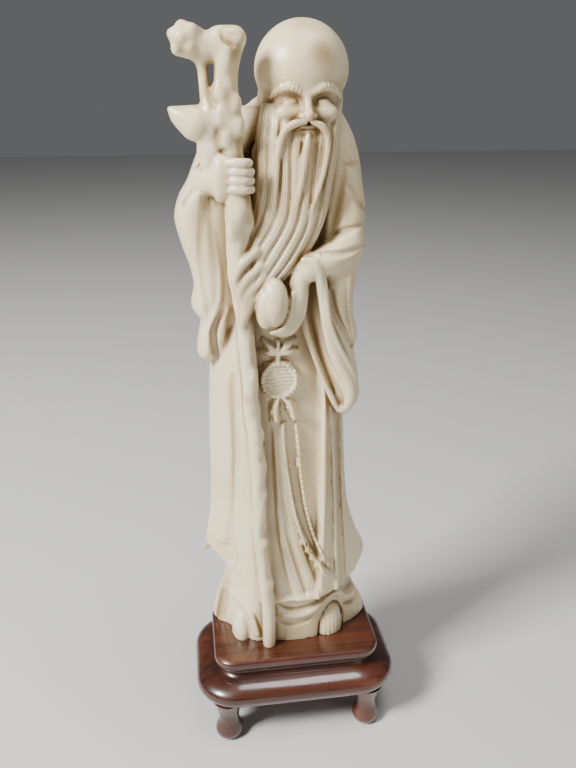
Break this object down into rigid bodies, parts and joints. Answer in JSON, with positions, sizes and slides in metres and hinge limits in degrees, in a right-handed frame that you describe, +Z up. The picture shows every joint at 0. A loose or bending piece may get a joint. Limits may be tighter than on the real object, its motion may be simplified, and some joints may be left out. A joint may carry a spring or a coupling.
{
  "type": "carved holy man figure",
  "caption": "Carved robed sage with a tall domed head, long beard, root staff with gourd, peach and hanging disc, on a moulded wooden stand with bun feet.",
  "frame": {"origin": "on the ground under the middle of the stand", "axes": "+Z up along the figure's height, the figure faces -Y, +X is to the right of a viewer in front of it"},
  "size_m": [0.0628, 0.0394, 0.205],
  "materials": {
    "carving": "polished cream carving with warm brown tint in the grooves",
    "wood": "glossy lacquered red-brown hardwood"
  },
  "bodies": {
    "root": {"figure": "carving", "stand": "wood"}
  },
  "joints": []
}
